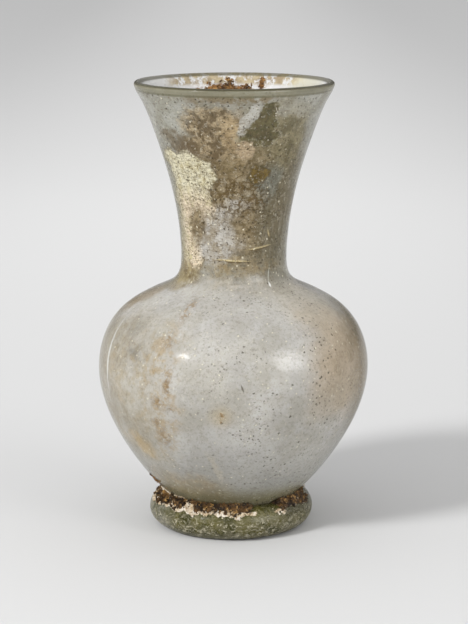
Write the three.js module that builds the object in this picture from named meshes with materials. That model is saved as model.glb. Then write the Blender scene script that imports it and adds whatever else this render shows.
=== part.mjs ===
// A free-blown glass flask, in millimetres with +Z up. The origin is on the surface it stands on,
// at the centre of the foot. The body, neck and mouth are one hollow blown piece. A thick coil of
// greener glass, wrapped round its base while hot, is the foot.
//
// Outlines are half sections: x is the radius and y the height.
import * as THREE from "three";

// Base: the blown piece's underside, pushed up a little in the middle.
const baseLift = 4.3; // lowest ring of the underside, above the standing surface
const baseRadius = 11; // radius of that lowest ring
const kickRise = 2.4; // how far the middle is pushed up
const baseCurl = 8.5; // length of the turn from the base into the wall

// Body
const bellyRadius = 45.4; // outside, at the widest
const bellyHeight = 54.5; // height of the widest ring
const bellyDepth = 21.7; // how long the wall keeps to the vertical below the widest ring
const bellyCrown = 17.1; // the same above it

// Shoulder: where the body's dome turns into the neck, measured from the throat
const throatRise = 36.6; // the narrowest ring of the neck, above the widest ring
const shoulderReach = 13.2; // how far outside the throat the turn begins
const shoulderDrop = 12.7; // how far below the throat the turn begins
const shoulderSlope = THREE.MathUtils.degToRad(29.7); // of the dome there, below the horizontal
const shoulderCrown = 2.7; // length of the dome's last stretch at that slope
const shoulderTurn = 9.4; // length of the hollow curve leaving the dome
const throatTurn = 8.9; // length of the hollow curve running into the neck

// Neck and mouth
const throatRadius = 17.65; // outside, at the narrowest
const flareRise = 34.7; // from the throat to the middle of the flare
const flareReach = 6.15; // how far outside the throat the flare's middle is
const flareLean = THREE.MathUtils.degToRad(18); // of the wall there, from the vertical
const neckStraight = 13.6; // how long the neck stays upright above the throat
const flareRunIn = 9.9; // length of the flare's curve below its middle
const flareRunOut = 8.5; // and above it
const mouthRise = 24.2; // from the middle of the flare to the top of the lip
const mouthRadius = 33.05; // outside, at the lip
const mouthLean = THREE.MathUtils.degToRad(30.2); // of the wall below the lip, from the vertical
const mouthRunIn = 7.3; // length of the last curve below the lip

// Glass thickness
const baseWall = 3.4;
const bellyWall = 1.7;
const throatWall = 2.1;
const flareWall = 1.8;
const lipThickness = 2.3; // the fire-rounded lip

// Foot: the coil, measured from the wall it is wrapped round
const coilRise = 6.9; // where its top meets the wall, above the underside's lowest ring
const coilProjection = 5.2; // how far it stands out past that seam
const coilBulgeHeight = 5.5; // height of its widest ring
const coilUndercut = 5.4; // how far the standing flat's outer edge is inside the widest ring
const standingWidth = 5.6; // width of the flat that it stands on
const boreRise = 1.9; // where its bore meets the wall, above the underside's lowest ring
const seamGap = 0.3; // between the coil and the wall

// The flask leans a little to +X, more steeply low down: the shift that its axis nears with height,
// and the height by which it has made most of it.
const leanShift = 1.2;
const leanHeight = 45;

const segments = 48; // round the axis

const bellyCurveSteps = 13;
const domeSteps = 8;
const shoulderSteps = 7;
const neckSteps = 5;
const flareSteps = 4;
const lipSteps = 5;
const baseSteps = 3;
const coilSteps = 5;

const point = (radius, height) => new THREE.Vector2(radius, height);

// A direction in the half section, by its angle from the vertical.
const direction = (angle) => point(Math.sin(angle), Math.cos(angle));

const moved = (from, way, distance) => from.clone().addScaledVector(way, distance);

const curve = (from, pull, push, to, steps) =>
  new THREE.CubicBezierCurve(from, pull, push, to).getPoints(steps);

// Curves laid end to end, each shared point once.
function chain(...curves) {
  return curves.flatMap((points, i) => (i ? points.slice(1) : points));
}

const up = point(0, 1);
const throatHeight = bellyHeight + throatRise;
const flareHeight = throatHeight + flareRise;
const topHeight = flareHeight + mouthRise;
const lipRadius = lipThickness / 2;

const base = point(baseRadius, baseLift);
const belly = point(bellyRadius, bellyHeight);
const throat = point(throatRadius, throatHeight);
const flare = point(throatRadius + flareReach, flareHeight);
const shoulder = point(throatRadius + shoulderReach, throatHeight - shoulderDrop);
const lipCentre = point(mouthRadius - lipRadius, topHeight - lipRadius);

// The underside, from its middle to the base's lowest ring.
function underside() {
  const middle = point(0, baseLift + kickRise);
  const half = baseRadius / 2;
  return curve(middle, point(half, middle.y), point(half, baseLift), base, baseSteps);
}

// The wall from the base to the widest ring.
function bowl() {
  const push = moved(belly, up, -bellyDepth);
  return curve(base, point(baseRadius + baseCurl, baseLift), push, belly, bellyCurveSteps);
}

// The dome, the shoulder's hollow turn, the neck and the flare, up to the lip.
function upperWall() {
  const domeFall = direction(Math.PI / 2 + shoulderSlope); // outwards and down
  const mouthWay = direction(mouthLean);
  const flareWay = direction(flareLean);
  // The lip is a round bead: the wall meets it where its side has the wall's own lean.
  const lipSide = moved(lipCentre, point(mouthWay.y, -mouthWay.x), lipRadius);
  return chain(
    curve(belly, moved(belly, up, bellyCrown), moved(shoulder, domeFall, shoulderCrown), shoulder, domeSteps),
    curve(shoulder, moved(shoulder, domeFall, -shoulderTurn), moved(throat, up, -throatTurn), throat, shoulderSteps),
    curve(throat, moved(throat, up, neckStraight), moved(flare, flareWay, -flareRunIn), flare, neckSteps),
    curve(flare, moved(flare, flareWay, flareRunOut), moved(lipSide, mouthWay, -mouthRunIn), lipSide, flareSteps),
  );
}

// The half turn over the lip, between the outer wall's end and the inner one's.
function lip() {
  const angles = Array.from({ length: lipSteps - 1 }, (_, i) => (Math.PI * (i + 1)) / lipSteps - mouthLean);
  return angles.map((angle) => moved(lipCentre, point(Math.cos(angle), Math.sin(angle)), lipRadius));
}

// Wall thickness at a height on the outside.
function wallAt(height) {
  const stations = [
    [baseLift, baseWall],
    [bellyHeight, bellyWall],
    [throatHeight, throatWall],
    [flareHeight, flareWall],
    [lipCentre.y, lipThickness],
  ];
  const next = stations.findIndex(([at]) => height <= at);
  if (next === 0) return stations[0][1];
  if (next < 0) return lipThickness;
  const [[low, lowWall], [high, highWall]] = stations.slice(next - 1, next + 1);
  return THREE.MathUtils.lerp(lowWall, highWall, THREE.MathUtils.smoothstep(height, low, high));
}

// An outline set off to its left by a distance that may change with height: inwards, for a wall
// whose outline runs upwards.
function offset(outline, distanceAt) {
  return outline.map((here, i) => {
    const before = outline[Math.max(i - 1, 0)];
    const after = outline[Math.min(i + 1, outline.length - 1)];
    const along = after.clone().sub(before).normalize();
    return moved(here, point(-along.y, along.x), distanceAt(here.y));
  });
}

// The point of a rising outline at a height.
function atHeight(outline, height) {
  const i = outline.findIndex((p) => p.y >= height);
  const [low, high] = outline.slice(i - 1, i + 1);
  return low.clone().lerp(high, (height - low.y) / (high.y - low.y));
}

function vesselOutline() {
  const outside = chain(underside(), bowl(), upperWall());
  const inside = offset(outside, wallAt).reverse();
  inside[inside.length - 1].x = 0;
  return [...outside, ...lip(), ...inside];
}

// The coil's section: a flat to stand on, a round outer side, and an inner side that follows the wall.
function coilOutline() {
  const wall = offset(bowl(), () => -seamGap);
  const seam = atHeight(wall, baseLift + coilRise);
  const boreTop = atHeight(wall, baseLift + boreRise);
  const seat = wall.filter((p) => p.y > boreTop.y && p.y < seam.y);
  const widest = point(seam.x + coilProjection, coilBulgeHeight);
  const outerEdge = point(widest.x - coilUndercut, 0);
  const innerEdge = point(outerEdge.x - standingWidth, 0);
  const round = 0.5; // pull of each quarter turn, a little flatter than an ellipse's
  const lower = curve(
    outerEdge,
    point(outerEdge.x + coilUndercut * round, 0),
    point(widest.x, widest.y * (1 - round)),
    widest,
    coilSteps,
  );
  const upper = curve(
    widest,
    point(widest.x, THREE.MathUtils.lerp(widest.y, seam.y, round)),
    point(seam.x + coilProjection * round, seam.y),
    seam,
    coilSteps,
  );
  return [innerEdge, ...chain(lower, upper), ...seat.reverse(), boreTop, innerEdge];
}

function leanAt(height) {
  return leanShift * (1 - Math.exp(-height / leanHeight));
}

// An outline spun round the upright axis, then leaned.
function spun(outline) {
  const geometry = new THREE.LatheGeometry(outline, segments).rotateX(Math.PI / 2);
  const position = geometry.getAttribute("position");
  for (let i = 0; i < position.count; i++)
    position.setX(i, position.getX(i) + leanAt(position.getZ(i)));
  return geometry;
}

function piece(name, outline, finish) {
  const mesh = new THREE.Mesh(spun(outline), new THREE.MeshStandardMaterial(finish));
  mesh.name = name;
  return mesh;
}

const flask = new THREE.Group();
flask.add(
  piece("flask_body", vesselOutline(), { color: 0xb9b7ab, roughness: 0.35, metalness: 0 }),
  piece("foot_ring", coilOutline(), { color: 0x6f7450, roughness: 0.3, metalness: 0 }),
);

export default flask;
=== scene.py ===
"""A weathered glass perfume flask on a pale floor. Metres, +Z up; the camera looks along +Y.

Azimuths are degrees round the flask: 0 faces the camera, and positive ones turn towards +X.
"""
import math
import random

import bmesh
import bpy
from mathutils import Matrix, Vector, noise


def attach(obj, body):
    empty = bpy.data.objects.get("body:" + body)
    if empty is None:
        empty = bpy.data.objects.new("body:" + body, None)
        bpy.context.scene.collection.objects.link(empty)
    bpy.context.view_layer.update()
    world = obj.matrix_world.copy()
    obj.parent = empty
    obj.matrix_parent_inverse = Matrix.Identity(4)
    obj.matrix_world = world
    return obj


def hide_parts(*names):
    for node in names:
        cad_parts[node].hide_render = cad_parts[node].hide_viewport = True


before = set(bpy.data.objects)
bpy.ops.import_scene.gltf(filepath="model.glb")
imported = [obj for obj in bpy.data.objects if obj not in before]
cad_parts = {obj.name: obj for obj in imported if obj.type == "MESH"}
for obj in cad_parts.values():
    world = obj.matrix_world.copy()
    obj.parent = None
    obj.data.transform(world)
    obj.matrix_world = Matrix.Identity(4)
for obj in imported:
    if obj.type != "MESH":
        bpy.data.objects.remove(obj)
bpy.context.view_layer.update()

MM = 0.001

# The flask's lean to +X, as the solids have it
LEAN = 1.2 * MM
LEAN_HEIGHT = 45 * MM

# Meshes
WELD = 1e-6
SPIN_STEPS = 256
OUTLINE_STEPS = 3  # new points on each stretch of the solids' outline
NECK_FOOT = 81.5 * MM  # above this the outside has the neck's material
CORNER = math.radians(39)  # an outline that turns by more keeps its corner
DENT = 0.16 * MM  # deepest hollow of the hand-blown surface
DENT_SIZE = 26 * MM
DENT_FADE = 12 * MM  # within this radius the hollows fade out
WAVE = 0.18 * MM  # unevenness of the wall's thickness
WAVE_SIZE = 15 * MM
RIM_STEPS = 12  # points of the outline over which both fade out at the lip
LUMP = 0.4 * MM  # deepest hollow between the coil's lumps
LUMP_SIZE = 13 * MM
LUMP_START = 23 * MM  # the coil is even inside this radius
LUMP_RISE = 3 * MM  # and has its full lumps this much further out

# Soil and crust, in mm and in degrees round the flask
SOIL_RUNS = ((-84, 18), (36, 79), (108, 151), (176, 238))
SOIL_STEP = 0.7  # degrees between two sections of a run
SOIL_FADE = 9  # sections over which a run thins out at each end
SOIL_POINTS = 12  # stretches of a section's face
SOIL_PROUD = 0.6  # how far its face swells at the middle
LIP_MARGIN = 2  # no crust inside the mouth is nearer to the lip than this
PATCH_DEPTH = 12  # least half depth of a painted patch, so that it isn't cut off by the wall's curve

# Camera, as the photograph's outline gives it, and stage
CAMERA_X = 1.1 * MM
CAMERA_DISTANCE = 647 * MM
CAMERA_HEIGHT = 205.9 * MM
CAMERA_PITCH = math.radians(11.66)
CAMERA_LENS = 113.4
CAMERA_SENSOR = 36

FLOOR_RADIUS = 60
FLASK_MIDDLE = Vector((0, 0, 75 * MM))

random.seed(7)


# Shapes


def lean(height):
    return LEAN * (1 - math.exp(-height / LEAN_HEIGHT))


def on_axis(azimuth, radius, height):
    """A point at an azimuth in degrees round the flask's own, slightly leaning axis."""
    turn = math.radians(azimuth)
    return Vector((lean(height) + radius * math.sin(turn), -radius * math.cos(turn), height))


def half_section(node):
    """A spun node's outline in order, as 2-D points (radius, height)."""
    bm = bmesh.new()
    bm.from_mesh(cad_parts[node].data)
    bmesh.ops.remove_doubles(bm, verts=bm.verts, dist=WELD)
    cut = {v for v in bm.verts if abs(v.co.y) < WELD and v.co.x > -0.5 * MM}
    beside = {v: [e.other_vert(v) for e in v.link_edges if e.other_vert(v) in cut] for v in cut}
    ends = [v for v in cut if len(beside[v]) == 1]
    here = min(ends or cut, key=lambda v: (round(v.co.z / WELD), v.co.x))
    walk = [here]
    while True:
        ahead = [v for v in beside[here] if v not in walk]
        if not ahead:
            break
        here = max(ahead, key=lambda v: v.co.x)
        walk.append(here)
    points = [Vector((v.co.x - lean(v.co.z), v.co.z)) for v in walk]
    bm.free()
    return points


def eased(points, closed=False):
    """More points on a curve through the given ones, which keeps corners sharper than CORNER."""
    count = len(points)
    chords = [points[(i + 1) % count] - points[i] for i in range(count)]
    arriving, leaving = [], []
    for i in range(count):
        before, after = chords[i - 1], chords[i]
        if not closed and i == 0:
            before = Vector((1, 0))
            after = Vector((1, 0))
        elif not closed and i == count - 1:
            before = Vector((-1, 0))
            after = Vector((-1, 0))
        elif before.angle(after) < CORNER:
            way = before.normalized() * after.length + after.normalized() * before.length
            before = after = way
        arriving.append(before.normalized())
        leaving.append(after.normalized())
    out = []
    for i in range(count if closed else count - 1):
        a, b = points[i], points[(i + 1) % count]
        reach = (b - a).length
        start, end = leaving[i] * reach, arriving[(i + 1) % count] * reach
        for k in range(OUTLINE_STEPS):
            t = k / OUTLINE_STEPS
            out.append(
                a * (2 * t**3 - 3 * t**2 + 1)
                + start * (t**3 - 2 * t**2 + t)
                + b * (3 * t**2 - 2 * t**3)
                + end * (t**3 - t**2)
            )
    if not closed:
        out.append(points[-1])
    return out


def across(outline, axis, value):
    """Where an outline first passes a radius (axis 0) or a height (axis 1)."""
    for a, b in zip(outline, outline[1:]):
        low, high = sorted((a[axis], b[axis]))
        if low <= value < high:
            return a.lerp(b, (value - a[axis]) / (b[axis] - a[axis]))
    return outline[-1]


BODY_OUTLINE = half_section("flask_body")
LIP = max(BODY_OUTLINE, key=lambda p: p.y)
OUTSIDE = BODY_OUTLINE[: BODY_OUTLINE.index(LIP) + 1]
INSIDE = BODY_OUTLINE[BODY_OUTLINE.index(LIP):]

COIL_OUTLINE = half_section("foot_ring")
SEAM = max(COIL_OUTLINE, key=lambda p: p.y)
COIL_SIDE = max(COIL_OUTLINE, key=lambda p: p.x)
COIL_TOP = [p for p in COIL_OUTLINE if p.x >= SEAM.x and p.y >= COIL_SIDE.y]


def outer_spot(azimuth, height):
    """A point on the outside of the blown piece."""
    return on_axis(azimuth, across(OUTSIDE, 1, height).x, height)


def inner_spot(azimuth, height):
    """A point on the inside of its wall."""
    return on_axis(azimuth, across(INSIDE, 1, height).x, height)


def linked(name, data, *materials):
    """An object in the scene for a mesh, a lamp or a camera."""
    for material in materials:
        data.materials.append(material)
    made = bpy.data.objects.new(name, data)
    bpy.context.scene.collection.objects.link(made)
    return made


def new_object(name, bm, *materials):
    mesh = bpy.data.meshes.new(name)
    bm.to_mesh(mesh)
    bm.free()
    return linked(name, mesh, *materials)


def spun(outline, closed, place, slot_at):
    """An outline turned round the axis. place(i, radius, height, azimuth) gives each point."""
    bm = bmesh.new()
    rings = []
    for i, p in enumerate(outline):
        if p.x < WELD:
            rings.append([bm.verts.new(place(i, 0, p.y, 0))] * SPIN_STEPS)
            continue
        turns = [360 * k / SPIN_STEPS for k in range(SPIN_STEPS)]
        rings.append([bm.verts.new(place(i, p.x, p.y, turn)) for turn in turns])
    for i in range(len(rings) if closed else len(rings) - 1):
        low, high = rings[i], rings[(i + 1) % len(rings)]
        for k in range(SPIN_STEPS):
            j = (k + 1) % SPIN_STEPS
            corners = list(dict.fromkeys([low[k], low[j], high[j], high[k]]))
            face = bm.faces.new(corners)
            face.smooth = True
            face.material_index = slot_at(i)
    bmesh.ops.recalc_face_normals(bm, faces=bm.faces)
    return bm


def dent(point, size):
    """From 0 to 1, changing slowly over the surface."""
    return 0.5 + 0.5 * max(-1, min(1, 1.6 * noise.noise(point / size)))


def vessel(*glasses):
    """The blown piece: both faces of its wall, with the slight unevenness of free-blown glass.
    The glasses are those of the body outside, the neck outside and all of the inside."""
    outline = eased(BODY_OUTLINE)
    top = max(range(len(outline)), key=lambda i: outline[i].y)

    def place(i, radius, height, azimuth):
        point = on_axis(azimuth, radius, height)
        if radius == 0:
            return point
        rim = min(1, abs(i - top) / RIM_STEPS)
        inward = DENT * dent(point, DENT_SIZE) * min(1, radius / DENT_FADE) * rim
        if i > top:
            inward += WAVE * (dent(point + Vector((1, 0, 0)), WAVE_SIZE) - 0.5) * rim
        return on_axis(azimuth, radius - inward, min(height, LIP.y))

    def slot_at(i):
        if i >= top:
            return 2
        return int(outline[i].y >= NECK_FOOT)

    bm = spun(outline, False, place, slot_at)
    return new_object("flask_glass", bm, *glasses)


def foot(glass):
    """The coil: round outside with the slow lumps of a hand-laid trail, flat where it stands."""
    outline = eased(COIL_OUTLINE, closed=True)

    def place(i, radius, height, azimuth):
        point = on_axis(azimuth, radius, height)
        outer = max(0, min(1, (radius - LUMP_START) / LUMP_RISE))
        inward = LUMP * dent(point, LUMP_SIZE) * outer
        return on_axis(azimuth, radius - inward, max(0, height))

    piece = new_object("foot_coil", spun(outline, True, place, lambda i: 0), glass)
    piece.data.set_sharp_from_angle(angle=CORNER)
    return piece


def soil_face(azimuth, t):
    """The face of the soil packed between wall and coil: t is 0 at the wall and 1 on the coil."""
    spread = 0.5 + noise.noise(on_axis(azimuth, SEAM.x, SEAM.y) / (4 * MM))
    top = across(OUTSIDE, 1, SEAM.y + (1.2 + 0.9 * spread) * MM)
    toe = across(COIL_TOP, 0, SEAM.x + (2.9 + 1.3 * spread) * MM)
    along = toe - top
    out = Vector((-along.y, along.x)).normalized()
    flat = top + along * t
    here = on_axis(azimuth, flat.x, flat.y)
    rough = 0.4 + 0.9 * noise.noise(here / (1.7 * MM)) + 0.5 * noise.noise(here / (0.7 * MM))
    proud = out * rough * SOIL_PROUD * MM * max(0, math.sin(math.pi * t))
    return on_axis(azimuth, flat.x + proud.x, flat.y + proud.y)


def unit_ball():
    """The corners and faces of a small round ball."""
    bm = bmesh.new()
    bmesh.ops.create_icosphere(bm, subdivisions=2, radius=1)
    points = [v.co.copy() for v in bm.verts]
    faces = [[v.index for v in face.verts] for face in bm.faces]
    bm.free()
    return points, faces


BALL = unit_ball()


class Heap:
    """Soil and crust gathered into one mesh. Sizes are in mm."""

    def __init__(self):
        self.points = []
        self.faces = []

    def add(self, points, faces):
        first = len(self.points)
        self.points += points
        self.faces += [[first + i for i in face] for face in faces]

    def clod(self, centre, size, flat=1, facing=None):
        """A lump with a broken surface. flat below 1 makes it a flake, which lies across facing."""
        offset = Vector([random.uniform(-9, 9) for _ in range(3)])
        turn = Matrix.Rotation(random.uniform(0, 2 * math.pi), 3, "Z")
        if facing is not None:
            tilt = Vector([random.uniform(-0.5, 0.5) for _ in range(3)])
            turn = (facing.normalized() + tilt).to_track_quat("Z", "Y").to_matrix() @ turn
        slim = random.uniform(0.4, 1)
        points = []
        for at in BALL[0]:
            swell = 1 + 0.9 * noise.noise(at * 1.3 + offset) + 0.6 * noise.noise(at * 3.3 + offset)
            points.append(centre + turn @ Vector((at.x, slim * at.y, flat * at.z)) * swell * size * MM)
        self.add(points, BALL[1])

    def band(self, start, end):
        """A run of soil along the seam from one azimuth to another, thin at both ends."""
        steps = round((end - start) / SOIL_STEP)
        points, faces = [], []
        for i in range(steps + 1):
            azimuth = start + (end - start) * i / steps
            seam = on_axis(azimuth, SEAM.x - 0.2 * MM, SEAM.y - 0.1 * MM)
            fade = max(0.1, min(1, i / SOIL_FADE, (steps - i) / SOIL_FADE)) ** 0.5
            face = [soil_face(azimuth, k / SOIL_POINTS) for k in range(SOIL_POINTS + 1)]
            face[0] = face[0].lerp(seam, 0.15)
            face[-1] = face[-1] - Vector((0, 0, 0.5 * MM))
            points += [seam.lerp(point, fade) for point in [*face, seam]]
        around = len(points) // (steps + 1)
        for i in range(steps):
            this, ahead = i * around, (i + 1) * around
            for k in range(around):
                j = (k + 1) % around
                faces.append([this + k, this + j, ahead + j, ahead + k])
        faces.append(list(reversed(range(around))))
        faces.append([steps * around + k for k in range(around)])
        self.add(points, faces)

    def scatter(self, where, azimuth, height, wide, high, count, size, flat=1):
        """Bits round a place on the wall: wide, in degrees, and high hold most of them. None
        reaches the lip."""
        for _ in range(count):
            turn = random.gauss(azimuth, wide)
            at = where(turn, min(random.gauss(height, high) * MM, LIP.y - LIP_MARGIN * MM))
            self.clod(at, random.uniform(0.4, 1) * size, flat, on_axis(0, 0, at.z) - at)

    def along_seam(self, start, end, low, high, count, smallest, largest, flat=1):
        """Bits on the soil's face, between two shares of the way from the wall to the coil."""
        for _ in range(count):
            azimuth = random.uniform(start, end)
            at = soil_face(azimuth, random.uniform(low, high))
            self.clod(at, random.uniform(smallest, largest), flat, on_axis(azimuth, 1, 0.6))

    def piece(self, name, material):
        mesh = bpy.data.meshes.new(name)
        mesh.from_pydata(self.points, [], self.faces)
        return linked(name, mesh, material)


def seam_soil(soil):
    """Dark soil with coarse grains in the groove above the coil, in runs with bare glass between."""
    heap = Heap()
    for start, end in SOIL_RUNS:
        heap.band(start, end)
        heap.along_seam(start + 3, end - 3, 0.05, 0.97, round(1.6 * (end - start)), 0.25, 0.85)
        heap.along_seam(start + 3, end - 3, 0.05, 0.97, round(1.4 * (end - start)), 0.12, 0.35)
    return heap.piece("seam_soil", soil)


def seam_flakes(crust):
    """Pale crust along the soil's lower border, with a lump and a thin upper line at the left."""
    heap = Heap()
    heap.along_seam(-86, -42, 0.88, 1.1, 100, 0.12, 0.75, 0.22)
    heap.along_seam(-42, 18, 0.9, 1.14, 160, 0.12, 0.75, 0.22)
    heap.along_seam(-20, 6, 0.7, 1, 34, 0.2, 0.6, 0.4)
    heap.along_seam(-84, -40, -0.02, 0.05, 150, 0.12, 0.3)
    heap.along_seam(-84, -68, 0.05, 1, 70, 0.2, 0.65, 0.4)
    heap.along_seam(-36, -29, 0.45, 1.05, 26, 0.4, 0.95)
    heap.along_seam(34, 43, 0.85, 1.2, 22, 0.25, 0.6, 0.5)
    heap.along_seam(43, 80, 0.9, 1.05, 9, 0.12, 0.35, 0.5)
    for start, end in ((105, 150), SOIL_RUNS[-1]):
        heap.along_seam(start, end, 0.9, 1.08, round(1.2 * (end - start)), 0.2, 0.5, 0.4)
    return heap.piece("seam_flakes", crust)


def rust_crust(rust):
    """Rust-brown crust on the inside of the back wall under the rim, and a little low down outside."""
    heap = Heap()
    for azimuth, height, wide, high, count in (
        (-151, 144, 3, 0.5, 26), (-163, 144.4, 2.6, 0.9, 60), (-170, 144.6, 2.4, 0.8, 60),
        (-176, 145.4, 2.2, 1.4, 80), (174, 144.6, 3, 0.9, 70), (160.5, 146.4, 0.7, 1.2, 34),
    ):
        heap.scatter(inner_spot, azimuth, height, wide, high, count, 0.7)
    for azimuth, height in ((-66, 18.5), (-62, 17.2), (-69, 16.6)):
        heap.scatter(outer_spot, azimuth, height, 2.2, 0.6, 14, 0.3)
    return heap.piece("rust_crust", rust)


def pale_flakes(crust):
    """Pale flakes round that crust, and a few on the neck outside."""
    heap = Heap()
    for azimuth, height, wide, high, count in (
        (-163, 146, 4, 0.8, 50), (-174, 146.4, 5, 1, 60), (172, 146, 4, 0.9, 50),
        (160, 145.4, 1.3, 1.5, 36), (-152, 147, 3.5, 0.4, 24), (165, 147.3, 6, 0.35, 24),
    ):
        heap.scatter(inner_spot, azimuth, height, wide, high, count, 0.5, 0.35)
    heap.scatter(outer_spot, 27, 142.3, 1.3, 1.0, 12, 0.25, 0.4)
    return heap.piece("pale_flakes", crust)


# Materials


class Paint:
    """Shorthand for one material's nodes. Masks run from 0 to 1."""

    def __init__(self, name):
        self.material = bpy.data.materials.new(name)
        self.material.use_nodes = True
        self.tree = self.material.node_tree
        self.shader = self.tree.nodes["Principled BSDF"]
        self.place = self.add("ShaderNodeTexCoord").outputs["Object"]
        split = self.add("ShaderNodeSeparateXYZ")
        self.feed(split.inputs[0], self.place)
        self.x, self.y, self.z = split.outputs
        self.colour = (0.5, 0.5, 0.5)
        self.crust = 0
        self.relief = 0

    def add(self, kind, **settings):
        made = self.tree.nodes.new(kind)
        for name, value in settings.items():
            setattr(made, name, value)
        return made

    def feed(self, socket, value):
        if isinstance(value, bpy.types.NodeSocket):
            self.tree.links.new(value, socket)
        else:
            socket.default_value = value

    def set(self, **values):
        for name, value in values.items():
            self.feed(self.shader.inputs[name.replace("_", " ")], value)

    def math(self, operation, *values):
        made = self.add("ShaderNodeMath", operation=operation)
        for socket, value in zip(made.inputs, values):
            self.feed(socket, value)
        return made.outputs[0]

    def times(self, *values):
        out = values[0]
        for value in values[1:]:
            out = self.math("MULTIPLY", out, value)
        return out

    def most(self, *values):
        out = values[0]
        for value in values[1:]:
            out = self.math("MAXIMUM", out, value)
        return out

    def ease(self, value, low, high, to_low=0, to_high=1):
        made = self.add("ShaderNodeMapRange", interpolation_type="SMOOTHSTEP")
        for name, given in zip(("Value", "From Min", "From Max", "To Min", "To Max"),
                               (value, low, high, to_low, to_high)):
            self.feed(made.inputs[name], given)
        return made.outputs["Result"]

    def moved(self, vector, stretch):
        made = self.add("ShaderNodeMapping", vector_type="POINT")
        self.feed(made.inputs["Vector"], vector)
        made.inputs["Scale"].default_value = stretch
        return made.outputs["Vector"]

    def noise(self, size, detail=3, roughness=0.55, stretch=None, at=None):
        """A noise whose features are about as large as size, in metres."""
        made = self.add("ShaderNodeTexNoise")
        vector = at or self.place
        self.feed(made.inputs["Vector"], self.moved(vector, stretch) if stretch else vector)
        made.inputs["Scale"].default_value = 1 / size
        made.inputs["Detail"].default_value = detail
        made.inputs["Roughness"].default_value = roughness
        return made

    def grey_noise(self, *args, **kwargs):
        return self.noise(*args, **kwargs).outputs["Fac"]

    def cells(self, size, feature="F1", at=None):
        made = self.add("ShaderNodeTexVoronoi", feature=feature)
        self.feed(made.inputs["Vector"], at or self.place)
        made.inputs["Scale"].default_value = 1 / size
        return made

    def shaken(self, amount, size, detail=4):
        """The surface coordinates, moved about by a noise, for ragged edges."""
        colour = self.noise(size, detail, 0.65).outputs["Color"]
        centred = self.add("ShaderNodeVectorMath", operation="SUBTRACT")
        self.feed(centred.inputs[0], colour)
        centred.inputs[1].default_value = (0.5, 0.5, 0.5)
        scaled = self.add("ShaderNodeVectorMath", operation="SCALE")
        self.feed(scaled.inputs[0], centred.outputs[0])
        scaled.inputs["Scale"].default_value = amount
        total = self.add("ShaderNodeVectorMath", operation="ADD")
        self.feed(total.inputs[0], self.place)
        self.feed(total.inputs[1], scaled.outputs[0])
        return total.outputs[0]

    def patch(self, at, azimuth, height, wide, high, edge=0.3, tilt=0, where=outer_spot):
        """A mask that is 1 inside an ellipse on the wall. height, wide and high, the half width
        and half height, are in mm, and edge is the share of them over which the mask fades. tilt
        turns it clockwise as seen from outside."""
        reach = (1 + edge) * MM
        deep = max(PATCH_DEPTH, 0.7 * wide)
        made = self.add("ShaderNodeMapping", vector_type="TEXTURE")
        self.feed(made.inputs["Vector"], at)
        made.inputs["Location"].default_value = where(azimuth, height * MM)
        round_axis = Matrix.Rotation(math.radians(azimuth), 3, "Z")
        leaned = Matrix.Rotation(math.radians(tilt), 3, "Y")
        made.inputs["Rotation"].default_value = (round_axis @ leaned).to_euler()
        made.inputs["Scale"].default_value = Vector((wide, deep, high)) * reach
        ball = self.add("ShaderNodeTexGradient", gradient_type="SPHERICAL")
        self.feed(ball.inputs["Vector"], made.outputs["Vector"])
        return self.ease(ball.outputs["Fac"], 0, 2 * edge / (1 + edge))

    def spread(self, at, places, edge, grow=1):
        """One mask over several ellipses: azimuth, height, half width and half height of each."""
        masks = [self.patch(at, azimuth, height, wide * grow, high * grow, edge)
                 for azimuth, height, wide, high in places]
        return self.most(*masks)

    def mottle(self, size, first, second, low=0.4, high=0.6, at=None):
        """One colour broken into another, in areas of about a size in mm."""
        areas = self.grey_noise(size * MM, 7, 0.68, at=at)
        return self.mix(self.ease(areas, low, high), first, second)

    def specks(self, spacing, size, share, at=None):
        """Dots of about a size in mm, in a share of the cells, which are a spacing in mm apart."""
        cell = self.cells(spacing * MM, at=at)
        dot = self.ease(cell.outputs["Distance"], size / spacing, 0.5 * size / spacing)
        split = self.add("ShaderNodeSeparateColor")
        self.feed(split.inputs[0], cell.outputs["Color"])
        return self.times(dot, self.math("LESS_THAN", split.outputs[0], share))

    def lay(self, mask, colour, strength=1, crust=0, relief=0):
        """Paint over what is there. crust, from 0 to 1, makes it matt and closed to light, and
        relief is how far it stands out, in mm."""
        covering = self.times(mask, strength)
        self.colour = self.mix(covering, self.colour, colour)
        if crust:
            self.crust = self.most(self.crust, self.times(covering, crust))
        if relief:
            self.relief = self.math("ADD", self.relief, self.times(covering, relief))

    def mix(self, factor, under, over):
        """A colour over another, by a mask."""
        made = self.add("ShaderNodeMix", data_type="RGBA")
        self.feed(made.inputs["Factor"], factor)
        for i, colour in ((6, under), (7, over)):
            linkable = isinstance(colour, bpy.types.NodeSocket)
            self.feed(made.inputs[i], colour if linkable else (*colour, 1))
        return made.outputs[2]

    def blend(self, factor, under, over):
        """A number over another, by a mask."""
        made = self.add("ShaderNodeMix", data_type="FLOAT")
        for i, value in ((0, factor), (2, under), (3, over)):
            self.feed(made.inputs[i], value)
        return made.outputs[0]

    def bump(self, height, depth):
        """A relief of a depth in metres for a mask of 0 to 1."""
        made = self.add("ShaderNodeBump")
        self.feed(made.inputs["Height"], height)
        made.inputs["Distance"].default_value = depth
        return made.outputs["Normal"]


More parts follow.
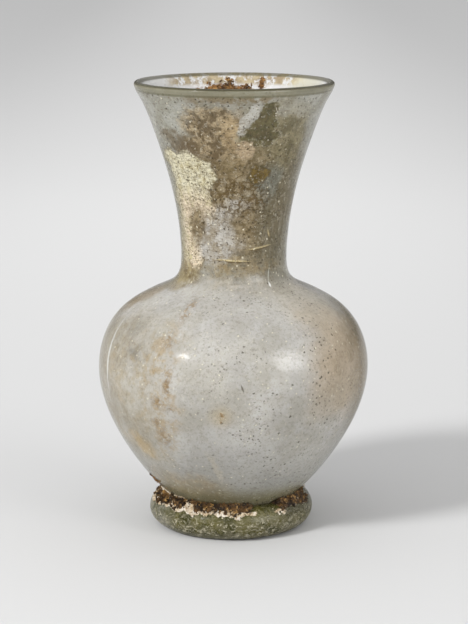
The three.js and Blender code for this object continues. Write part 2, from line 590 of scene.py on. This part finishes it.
def paint_film(p, soft):
    """The milky film over all of the outside, tan on both shoulders."""
    p.colour = p.mottle(22, (0.46, 0.44, 0.385), (0.57, 0.555, 0.52), 0.36, 0.62, soft)
    p.lay(p.ease(p.grey_noise(6 * MM, 6, 0.7), 0.5, 0.72), (0.64, 0.63, 0.61), 0.5)
    p.lay(p.patch(soft, 57, 79.6, 12, 10, 0.5), (0.44, 0.39, 0.29), 0.5)
    p.lay(p.patch(soft, -82, 80, 10, 5, 0.5, tilt=-35), (0.34, 0.26, 0.15), 0.7)


def body_sides(p, soft, medium):
    """Painted shade low down and at both far sides, tan and blotched at the left, pinkish at the
    right.
    """
    # Painted shade: the body is darker low down, where less light falls.
    p.lay(p.ease(p.z, 42 * MM, 20 * MM), (0.375, 0.37, 0.335), 0.75)
    tan = p.mottle(5, (0.48, 0.445, 0.36), (0.35, 0.29, 0.185))
    p.lay(p.patch(soft, -58, 52, 24, 32, 0.4), tan, 0.7)
    blotched = p.times(p.patch(soft, -50, 48, 15, 30, 0.5), p.ease(medium, 0.48, 0.64))
    p.lay(blotched, (0.44, 0.35, 0.21), 0.45)
    cleared = p.times(p.patch(soft, -38, 62, 12, 13, 0.4), p.ease(medium, 0.56, 0.44))
    p.lay(cleared, (0.6, 0.585, 0.55), 0.25)

    pinkish = p.mottle(6, (0.54, 0.43, 0.3), (0.43, 0.33, 0.21))
    p.lay(p.patch(soft, 56, 61, 17, 15, 0.5, tilt=-25), pinkish, 0.8)
    p.lay(p.patch(soft, 52, 73, 11, 6, 0.6, tilt=20), (0.5, 0.41, 0.29), 0.55)
    p.lay(p.patch(soft, 47, 50, 13, 6, 0.4, tilt=-20), (0.4, 0.34, 0.25), 0.5)

    # Painted shade on both far sides of the body: dark brown at the right, greyer at the left.
    p.lay(p.patch(soft, 86, 55, 19, 32, 0.5), (0.19, 0.145, 0.075), 0.85)
    p.lay(p.patch(soft, -90, 52, 16, 30, 0.5), (0.33, 0.29, 0.21), 0.6)
    p.lay(p.patch(soft, -93, 72, 11, 5, 0.5, tilt=-60), (0.33, 0.25, 0.14), 0.7)


def body_stains(p, soft, medium):
    """A pale line at the left, and a rusty streak with a column of brown stains down it."""
    p.lay(p.patch(p.place, -67, 62, 0.6, 11, 0.6, tilt=-8), (0.85, 0.85, 0.82), 0.7)
    streak = p.times(p.patch(soft, -31, 56, 6, 24, 0.7), p.ease(medium, 0.46, 0.6))
    p.lay(streak, (0.46, 0.33, 0.17), 0.6)
    fine = p.grey_noise(1.3 * MM, 4, 0.75)
    for azimuth, height, wide, high in (
        (-28.4, 78.6, 1.6, 2.8), (-30.8, 70.4, 2.2, 2.6), (-28, 57, 1.5, 4.2), (-32.8, 51, 2.3, 1.6),
        (-26.3, 49.2, 1.1, 1.1), (-34.7, 43.7, 1.6, 1.8), (-31.6, 39, 2.2, 3.2),
    ):
        spot = p.times(p.patch(p.place, azimuth, height, wide, high, 0.7), p.ease(fine, 0.47, 0.54))
        p.lay(spot, (0.2, 0.115, 0.035), 0.85, crust=0.6)


def body_marks(p, soft, ragged):
    """Single marks: an amber smear, grey bruises, the spot in front, nicks, and the tan base."""
    p.lay(p.patch(soft, -48.7, 34, 3.6, 3.4, 0.8), (0.58, 0.4, 0.15), 0.55)
    p.lay(p.patch(ragged, -47.7, 65.3, 2.9, 1.7, 0.8), (0.22, 0.22, 0.21), 0.5)
    p.lay(p.patch(ragged, -53.5, 72.2, 3, 2.3, 0.8), (0.28, 0.27, 0.24), 0.4)

    p.lay(p.patch(p.place, -5.1, 47.3, 3.1, 3, 0.9), (0.56, 0.44, 0.24), 0.5)
    p.lay(p.patch(ragged, -5.1, 47.3, 0.8, 0.8, 0.7), (0.22, 0.13, 0.04), 0.9, crust=1)
    p.lay(p.patch(p.place, 3.7, 56.9, 0.28, 1.2, 0.5, tilt=-20), (0.1, 0.08, 0.05), 0.8)
    p.lay(p.patch(soft, -9.6, 28.4, 1.2, 5, 0.6, tilt=-15), (0.56, 0.51, 0.41), 0.6)

    tan = p.mottle(5, (0.42, 0.32, 0.18), (0.31, 0.26, 0.16))
    p.lay(p.patch(soft, -30, 19, 16, 5.5, 0.5), tan, 0.7)
    p.lay(p.ease(p.z, 22 * MM, 13 * MM), (0.22, 0.195, 0.095), 0.85)


def neck_ground(p, soft, ragged, medium):
    """Thin grey glass, brown in the middle and olive brown up the right side, which is also painted
    darker as shade.
    """
    p.lay(p.ease(p.z, 83 * MM, 91 * MM), p.mottle(9, (0.31, 0.3, 0.24), (0.42, 0.42, 0.37)))
    brown = p.mottle(3.5, (0.1, 0.075, 0.03), (0.34, 0.275, 0.17), 0.4, 0.62)
    p.lay(p.patch(soft, 6, 112, 24, 26, 0.35), brown, 0.9, crust=0.5)
    p.lay(p.patch(soft, 8, 119, 20, 24, 0.5), (0.24, 0.155, 0.045), 0.35)

    # Olive brown up the right side: partly the glass's own colour, partly painted shade on the side
    # away from the key lamp.
    p.lay(p.patch(soft, 50, 112, 8, 28, 0.4), (0.15, 0.13, 0.075), 0.8)
    streaks = p.ease(p.grey_noise(1.5 * MM, 4, 0.6, stretch=(1, 1, 0.12)), 0.5, 0.62)
    p.lay(p.times(streaks, p.patch(soft, 52, 116, 12, 30, 0.4)), (0.34, 0.31, 0.24), 0.45)
    olive_brown = p.mottle(4, (0.12, 0.1, 0.04), (0.28, 0.24, 0.13))
    p.lay(p.patch(soft, 37, 134, 10, 11, 0.4), olive_brown, 0.88, crust=0.4)
    p.lay(p.patch(ragged, 38, 143, 8, 2.6, 0.5), (0.45, 0.43, 0.36), 0.6)

    under_lip = p.times(p.patch(soft, 2, 146, 17, 1.9, 0.4), p.ease(medium, 0.36, 0.5))
    p.lay(under_lip, (0.2, 0.145, 0.065), 0.8)


def taupe_crust(p, soft, ragged, torn):
    """The highest crust, in front under the mouth, with dark brown tails to its left."""
    upper = p.patch(ragged, -13, 138, 11, 6.5, 0.25, tilt=8)
    lower = p.patch(ragged, -19, 131, 8, 5, 0.3)
    taupe = p.mottle(3, (0.11, 0.075, 0.035), (0.42, 0.33, 0.2), 0.42, 0.6)
    p.lay(p.most(upper, lower), taupe, 0.94, crust=0.8, relief=0.1)
    p.lay(p.patch(soft, 1, 134, 4, 7, 0.5), (0.44, 0.32, 0.17), 0.55)
    p.lay(p.patch(ragged, -44, 132, 10, 2.6, 0.35, tilt=12), (0.13, 0.095, 0.05), 0.8, crust=0.5)
    p.lay(p.patch(torn, -34, 129, 4, 3.6, 0.3), (0.12, 0.085, 0.045), 0.8, crust=0.5)


def cream_crust(p, torn, medium):
    """The torn cream layer at the left with its dark border, and the grey edge beside it."""
    places = (
        (-60, 126, 5, 3.2), (-42, 122, 8.5, 6.5), (-27, 121.5, 5, 4.5), (-45, 111, 9, 9),
        (-55, 99, 6.5, 12), (-46, 94, 3.5, 5),
    )
    p.lay(p.spread(torn, places, 0.12, 1.13), (0.14, 0.1, 0.05), 0.8, crust=0.5)
    pinkish = p.mix(p.ease(p.z, 110 * MM, 119 * MM), (0.68, 0.57, 0.42), (0.67, 0.63, 0.46))
    cream = p.mix(p.ease(medium, 0.46, 0.66), pinkish, (0.5, 0.44, 0.26))
    p.lay(p.spread(torn, places, 0.1), cream, 0.95, crust=1, relief=0.16)
    p.lay(p.patch(p.place, -79, 112, 6, 32, 0.5), (0.27, 0.26, 0.19), 0.8)


def pale_layer(p, soft, ragged, torn):
    """A pale layer low on the neck between two brown scabs, and a bluish stain above."""
    pale = p.mottle(4, (0.36, 0.31, 0.235), (0.54, 0.52, 0.48), 0.38, 0.58)
    p.lay(p.patch(ragged, -19, 101, 7.5, 9, 0.3), pale, 0.92, crust=0.4)
    p.lay(p.patch(ragged, -2, 110, 6, 3.6, 0.3), pale, 0.85, crust=0.4)
    left_scab = p.mottle(2, (0.1, 0.07, 0.03), (0.26, 0.2, 0.11))
    p.lay(p.patch(torn, -39, 104.3, 3.4, 6.5, 0.5), left_scab, 0.9, crust=0.6)
    right_scab = p.mottle(2, (0.13, 0.09, 0.035), (0.35, 0.28, 0.17))
    p.lay(p.patch(torn, 9, 105, 4, 6, 0.6), right_scab, 0.85, crust=0.6)
    p.lay(p.patch(soft, 34, 119, 4, 6, 0.6), (0.2, 0.225, 0.2), 0.6)


def cracked_layer(p, ragged, torn, medium):
    """Scales with dark cracks between them, in the middle of the neck."""
    cracked = p.patch(ragged, 7, 114.5, 10, 7.5, 0.35)
    edges = p.cells(3.2 * MM, "DISTANCE_TO_EDGE", at=torn).outputs["Distance"]
    crack = p.times(p.ease(edges, 0.11, 0.04), cracked, p.ease(medium, 0.34, 0.44))
    scale = p.times(p.ease(edges, 0.14, 0.3), cracked, p.ease(medium, 0.42, 0.56))
    p.lay(scale, (0.46, 0.4, 0.29), 0.6, crust=0.5, relief=0.1)
    p.lay(crack, (0.1, 0.06, 0.015), 0.85, crust=0.8, relief=-0.12)


def olive_layer(p, torn):
    """The torn olive layer under the lip, pale and tan flaps beside it and an amber spot below."""
    places = ((22, 143, 2.6, 3.4), (19, 139, 4.2, 3.8), (17, 134.8, 7.2, 3.2))
    p.lay(p.spread(torn, places, 0.1, 1.1), (0.42, 0.4, 0.3), 0.5)
    olive = p.mottle(4, (0.045, 0.04, 0.012), (0.13, 0.11, 0.04))
    p.lay(p.spread(torn, places, 0.08), olive, 0.95, crust=0.5)
    p.lay(p.patch(torn, 9.5, 140, 1.9, 6, 0.2, tilt=32), (0.56, 0.55, 0.5), 0.8, relief=0.1)
    p.lay(p.patch(torn, 9, 130, 3.6, 2.6, 0.1), (0.43, 0.33, 0.21), 0.9, crust=0.9, relief=0.12)
    p.lay(p.patch(torn, 20.4, 121.6, 3.7, 3.3, 0.15), (0.06, 0.045, 0.015), 0.8)
    amber = p.mottle(2, (0.1, 0.065, 0.01), (0.25, 0.165, 0.035))
    p.lay(p.patch(torn, 20.4, 121.6, 3, 2.6, 0.15), amber, crust=0.5)


def neck_foot(p, soft, ragged, medium):
    """Dark veins over the brown, and the brown bands where the neck meets the body."""
    raised = p.math("SUBTRACT", p.grey_noise(6 * MM, 5, 0.62, at=ragged), 0.5)
    veins = p.ease(p.math("ABSOLUTE", raised), 0.02, 0.006)
    brown = p.patch(soft, 10, 117, 22, 26, 0.3)
    p.lay(p.times(veins, brown), (0.07, 0.045, 0.015), 0.6, crust=0.5)
    band = p.times(p.patch(ragged, 12, 91, 14, 3, 0.5), p.ease(medium, 0.4, 0.54))
    p.lay(band, (0.34, 0.26, 0.14), 0.65, crust=0.6, relief=0.06)
    left_band = p.mottle(3, (0.15, 0.105, 0.04), (0.32, 0.26, 0.14))
    p.lay(p.patch(ragged, -61, 87, 7, 4.2, 0.4), left_band, 0.9, crust=0.5)


def neck_scratches(p):
    """Three straw-coloured scratches, each with a dark lower side, and a thin whitish drip painted
    with a highlight along it and a bright glint at its end.
    """
    for azimuth, height, wide, tilt in ((-1, 93, 5.2, 3), (27.9, 97.1, 3.8, -8), (38, 101.7, 1.2, 70)):
        p.lay(p.patch(p.place, azimuth, height - 0.4, wide, 0.35, 0.5, tilt), (0.09, 0.06, 0.02), 0.8)
        p.lay(p.patch(p.place, azimuth, height, wide, 0.28, 0.5, tilt), (0.6, 0.49, 0.27), 0.95)
    # The drip: a whitish glass thread whose brightness is partly a painted highlight.
    p.lay(p.patch(p.place, 39, 87.6, 0.22, 2.8, 0.5, tilt=14), (0.7, 0.7, 0.62), 0.6)
    # Painted highlight: a bright glint at the drip's end.
    p.lay(p.patch(p.place, 37.5, 84.8, 0.34, 0.7, 0.5), (0.95, 0.95, 0.92), 0.9)


def paint_lip(p):
    """A greenish band round the lip, painted shade in the groove under it and a dark crest."""
    top = LIP.y
    p.lay(p.ease(p.z, top - 3 * MM, top - 1.9 * MM), (0.25, 0.235, 0.16), 0.85)
    # Painted shade: a dark line in the groove under the lip's bead.
    lower_side = p.ease(p.z, top - 3.1 * MM, top - 2.6 * MM)
    upper_side = p.ease(p.z, top - 1.9 * MM, top - 2.4 * MM)
    p.lay(p.times(lower_side, upper_side), (0.1, 0.09, 0.04), 0.6)
    p.lay(p.ease(p.z, top - 0.8 * MM, top - 0.35 * MM), (0.06, 0.052, 0.02), 0.92)


def paint_specks(p):
    """Tan clouds on the side away from the camera, then fine lines, grain, pits and dust over all."""
    clouds = p.times(p.ease(p.y, 0, 16 * MM), p.ease(p.grey_noise(11 * MM, 6, 0.7), 0.5, 0.64))
    p.lay(clouds, (0.38, 0.3, 0.18), 0.6)
    thick = p.ease(p.grey_noise(14 * MM, 3), 0.4, 0.6)
    rightwards = p.ease(p.x, -22 * MM, 12 * MM, 0.15, 1)
    neck = p.ease(p.z, 85 * MM, 92 * MM)
    jagged = p.shaken(1.3 * MM, 0.6 * MM, 3)

    lines = p.ease(p.grey_noise(3 * MM, 3, 0.7, stretch=(1, 1, 9)), 0.5, 0.64)
    p.lay(p.times(lines, neck), (0.1, 0.075, 0.04), p.blend(p.crust, 0.25, 0.6))
    dark_grain = p.ease(p.grey_noise(1.1 * MM, 4, 0.8), 0.5, 0.64)
    p.lay(dark_grain, (0.13, 0.09, 0.04), p.blend(p.crust, 0.28, 0.66), relief=0.05)
    pale_grain = p.ease(p.grey_noise(1.3 * MM, 4, 0.8), 0.54, 0.66)
    p.lay(pale_grain, (0.74, 0.7, 0.58), p.blend(p.crust, 0.25, 0.35))

    p.lay(p.specks(1, 0.3, 0.6, jagged), (0.13, 0.09, 0.04), p.blend(neck, 0.2, 0.75))
    pits = p.times(p.specks(1.3, 0.37, 0.65, jagged), p.most(p.times(thick, rightwards), neck))
    p.lay(pits, (0.06, 0.042, 0.02), 0.85, relief=-0.12)
    large_pits = p.times(p.specks(3.6, 0.52, 0.5, jagged), p.most(rightwards, neck))
    p.lay(large_pits, (0.06, 0.045, 0.02), 0.85)
    p.lay(p.specks(1.9, 0.36, 0.4, jagged), (0.84, 0.78, 0.6), 0.8, relief=0.05)


def weathered(p, shine):
    """Glass seen through the film, matt and closed under the crust."""
    film = p.ease(p.grey_noise(15 * MM, 4), 0.35, 0.65, 0.42, 0.28)
    p.set(Base_Color=p.colour, IOR=1.5, Specular_IOR_Level=shine)
    p.set(Roughness=p.blend(p.crust, 0.21, 0.5), Normal=p.bump(p.relief, MM))
    p.set(Transmission_Weight=p.blend(p.crust, film, 0.08))
    return p.material


def body_glass():
    p = Paint("body_glass")
    soft = p.shaken(16 * MM, 12 * MM, 6)
    paint_film(p, soft)
    ragged = p.shaken(11 * MM, 6 * MM, 7)
    medium = p.grey_noise(4 * MM, 6, 0.68)
    body_sides(p, soft, medium)
    body_stains(p, soft, medium)
    body_marks(p, soft, ragged)
    paint_specks(p)
    return weathered(p, 0.35)


def neck_glass():
    """Crusts over one another: brown, taupe, cream, pale, cracked and olive."""
    p = Paint("neck_glass")
    soft = p.shaken(16 * MM, 12 * MM, 6)
    paint_film(p, soft)
    ragged = p.shaken(11 * MM, 6 * MM, 7)
    torn = p.shaken(8 * MM, 4.5 * MM, 7)
    medium = p.grey_noise(3 * MM, 7, 0.7)
    neck_ground(p, soft, ragged, medium)
    taupe_crust(p, soft, ragged, torn)
    cream_crust(p, torn, medium)
    pale_layer(p, soft, ragged, torn)
    cracked_layer(p, ragged, torn, medium)
    olive_layer(p, torn)
    neck_foot(p, soft, ragged, medium)
    neck_scratches(p)
    paint_specks(p)
    paint_lip(p)
    return weathered(p, 0.2)


def inside_glass():
    """Silvery inside with faint tan clouds in the neck, tan and rust under the rim at the back, and
    yellowish white at its right."""
    p = Paint("silvered_glass")
    ragged = p.shaken(9 * MM, 5 * MM, 7)
    p.colour = (0.99, 0.99, 0.99)
    deep = p.times(p.ease(p.z, 141 * MM, 132 * MM), p.ease(p.z, 96 * MM, 106 * MM))
    clouds = p.times(deep, p.ease(p.grey_noise(8 * MM, 6, 0.7), 0.46, 0.62))
    p.lay(clouds, (0.62, 0.53, 0.38), 0.5)

    high_up = p.ease(p.z, LIP.y - 4.4 * MM, LIP.y - 3 * MM)
    band = p.times(high_up, p.ease(p.grey_noise(3.5 * MM, 6, 0.7), 0.4, 0.52))
    back = p.patch(ragged, 180, 148, 27, 9, 0.2, where=inner_spot)
    tan = p.mottle(3, (0.28, 0.19, 0.08), (0.48, 0.38, 0.2))
    p.lay(p.times(band, back), tan, 0.92, crust=0.7, relief=0.08)
    middle = p.patch(ragged, 182, 144.6, 12, 1.9, 0.4, where=inner_spot)
    p.lay(p.times(middle, p.ease(p.grey_noise(2 * MM, 5), 0.4, 0.5)), (0.2, 0.1, 0.03), 0.9, crust=0.9)

    p.lay(p.patch(ragged, 122, 146, 9, 5, 0.5, where=inner_spot), (0.74, 0.7, 0.48), 0.6)
    p.lay(p.specks(1.6, 0.3, 0.3), (0.2, 0.15, 0.08), 0.7)
    p.lay(p.ease(p.z, LIP.y - 1.3 * MM, LIP.y - 0.7 * MM), (0.11, 0.095, 0.045), 0.85)
    p.set(Base_Color=p.colour, IOR=1.5)
    p.set(Roughness=p.blend(p.crust, 0.3, 0.5), Normal=p.bump(p.relief, MM))
    p.set(Transmission_Weight=p.blend(p.crust, 0.45, 0.08))
    return p.material


def foot_glass():
    """Thick olive glass, grey at its left end, with painted shade at the top of its right end and
    where it meets the floor, and pale flecks of crust low down.
    """
    p = Paint("olive_glass")
    soft = p.shaken(6 * MM, 6 * MM, 5)
    p.colour = p.mottle(5, (0.055, 0.053, 0.008), (0.14, 0.125, 0.036), at=soft)
    grey = p.mottle(4, (0.26, 0.25, 0.21), (0.1, 0.1, 0.05))
    p.lay(p.ease(p.x, -16 * MM, -24 * MM), grey, 0.7)
    # Painted shade: the top of the foot's right end, away from the key lamp, is darker.
    right_end_shade = p.times(p.ease(p.x, 14 * MM, 22 * MM), p.ease(p.z, 5 * MM, 8 * MM))
    p.lay(right_end_shade, (0.11, 0.1, 0.06), 0.7)

    dull = p.ease(p.grey_noise(4 * MM, 6, 0.7, stretch=(1, 1, 1.8)), 0.44, 0.6)
    p.lay(p.times(dull, p.ease(p.z, 9 * MM, 5 * MM)), (0.2, 0.18, 0.11), 0.55, crust=0.6)
    fleck = p.ease(p.grey_noise(1.6 * MM, 6, 0.78, stretch=(1, 1, 2.2), at=soft), 0.51, 0.58)
    low_down = p.ease(p.z, 9 * MM, 5 * MM, 0.2, 1)
    p.lay(p.times(fleck, low_down), (0.6, 0.55, 0.4), 0.85, crust=0.8, relief=0.12)
    bits = p.specks(1.5, 0.36, 0.35, p.shaken(1.2 * MM, 0.6 * MM))
    p.lay(bits, (0.62, 0.56, 0.4), 0.85, crust=0.8, relief=0.1)
    p.lay(p.specks(1.1, 0.27, 0.5), (0.04, 0.035, 0.015), 0.65)
    # Painted shade: darker along the foot's lowest millimetre, where it meets the floor.
    p.lay(p.ease(p.z, 1.1 * MM, 0.4 * MM), (0.06, 0.05, 0.03), 0.6)

    p.set(Base_Color=p.colour, IOR=1.5, Specular_IOR_Level=0.3)
    p.set(Roughness=p.blend(p.crust, 0.27, 0.6), Normal=p.bump(p.relief, MM))
    p.set(Transmission_Weight=p.blend(p.crust, 0.35, 0.05))
    return p.material


def earth(name, dark, light):
    """Soil or rust in two tones, with amber and pale bits."""
    p = Paint(name)
    p.colour = p.mottle(2.6, dark, light, 0.42, 0.6)
    amber = p.ease(p.grey_noise(1.6 * MM, 3, 0.7), 0.54, 0.66)
    p.lay(amber, (0.48, 0.28, 0.09), 0.8)
    pale = p.ease(p.grey_noise(0.9 * MM, 2, at=p.shaken(2 * MM, 1.5 * MM)), 0.64, 0.7)
    p.lay(pale, (0.55, 0.44, 0.28), 0.7)
    p.relief = p.grey_noise(0.5 * MM, 4, 0.7)
    p.set(Base_Color=p.colour, Roughness=0.75, Normal=p.bump(p.relief, 0.4 * MM))
    return p.material


def pale_crust():
    p = Paint("pale_crust")
    p.colour = p.mottle(2.5, (0.47, 0.37, 0.24), (0.7, 0.65, 0.56), 0.4, 0.62)
    p.lay(p.ease(p.grey_noise(1.1 * MM, 4, 0.75), 0.52, 0.64), (0.25, 0.14, 0.05), 0.75)
    p.relief = p.grey_noise(0.6 * MM, 4, 0.7)
    p.set(Base_Color=p.colour, Roughness=0.8, Normal=p.bump(p.relief, 0.15 * MM))
    return p.material


def floor_paint():
    p = Paint("pale_floor_painted_shade")
    # Painted light and shade: the floor is darker in front of the flask and lighter behind it.
    p.colour = p.mix(p.ease(p.y, 0, 0.8), (0.6, 0.6, 0.6), (0.78, 0.78, 0.78))
    # Painted shade: the floor darkens towards both sides.
    side_shade = p.ease(p.math("ABSOLUTE", p.x), 0.02, 0.35)
    p.lay(side_shade, (0.56, 0.56, 0.56), 0.6)
    p.set(Base_Color=p.colour, Roughness=0.9)
    return p.material


# Stage, lights and camera


def stage():
    bm = bmesh.new()
    bmesh.ops.create_circle(bm, cap_ends=True, radius=FLOOR_RADIUS, segments=96)
    floor = new_object("floor", bm, floor_paint())


def softbox(name, azimuth, elevation, distance, size, power, gleam=False):
    """A rectangular lamp that points at the flask's middle. A gleam only shows in the glass, and
    any other lamp only lights it."""
    turn, rise = math.radians(azimuth), math.radians(elevation)
    flat = distance * math.cos(rise)
    spot = Vector((flat * math.sin(turn), -flat * math.cos(turn), distance * math.sin(rise)))
    lamp = bpy.data.lights.new(name, "AREA")
    lamp.shape = "RECTANGLE"
    lamp.size, lamp.size_y = size
    lamp.energy = power
    box = linked(name, lamp)
    box.location = FLASK_MIDDLE + spot
    box.rotation_euler = (-spot).to_track_quat("-Z", "Y").to_euler()
    box.visible_glossy = gleam
    box.visible_transmission = gleam
    box.visible_diffuse = not gleam


def studio_light():
    """A pale room that is brightest overhead and dim at eye level, which draws the glass's edges."""
    world = bpy.data.worlds.new("studio")
    world.use_nodes = True
    nodes, links = world.node_tree.nodes, world.node_tree.links
    split = nodes.new("ShaderNodeSeparateXYZ")
    links.new(nodes.new("ShaderNodeTexCoord").outputs["Generated"], split.inputs[0])
    rise = nodes.new("ShaderNodeMapRange")
    rise.interpolation_type = "SMOOTHSTEP"
    links.new(split.outputs["Z"], rise.inputs["Value"])
    for name, value in (("From Min", 0.05), ("From Max", 0.6), ("To Min", 0.12), ("To Max", 0.84)):
        rise.inputs[name].default_value = value
    links.new(rise.outputs["Result"], nodes["Background"].inputs["Strength"])
    nodes["Background"].inputs["Color"].default_value = (1, 1, 1, 1)
    bpy.context.scene.world = world


def lights():
    studio_light()
    softbox("key", -50, 30, 2.2, (0.45, 0.45), 46)
    softbox("fill", 55, 8, 1.2, (0.5, 0.5), 6.5)
    softbox("spark", -48, 31, 2, (0.09, 0.09), 6.5, gleam=True)
    softbox("glow", 50, 23, 1.2, (0.55, 0.55), 8, gleam=True)


def camera():
    data = bpy.data.cameras.new("camera")
    data.lens = CAMERA_LENS
    data.sensor_width = CAMERA_SENSOR
    data.clip_start = 10 * MM
    made = linked("camera", data)
    made.location = (CAMERA_X, -CAMERA_DISTANCE, CAMERA_HEIGHT)
    made.rotation_euler = (math.pi / 2 - CAMERA_PITCH, 0, 0)
    bpy.context.scene.camera = made


def dress(piece, node=None):
    """A piece rides with the flask, and may stand for a solid, whose part it then hides."""
    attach(piece, "root")
    if node:
        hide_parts(node)


soil = earth("brown_soil", (0.016, 0.009, 0.004), (0.11, 0.055, 0.016))
rust = earth("rust", (0.07, 0.032, 0.01), (0.3, 0.15, 0.045))
crust = pale_crust()
dress(vessel(body_glass(), neck_glass(), inside_glass()), "flask_body")
dress(foot(foot_glass()), "foot_ring")
dress(seam_soil(soil))
dress(seam_flakes(crust))
dress(rust_crust(rust))
dress(pale_flakes(crust))

stage()
lights()
camera()
bpy.context.scene.view_settings.view_transform = "Standard"
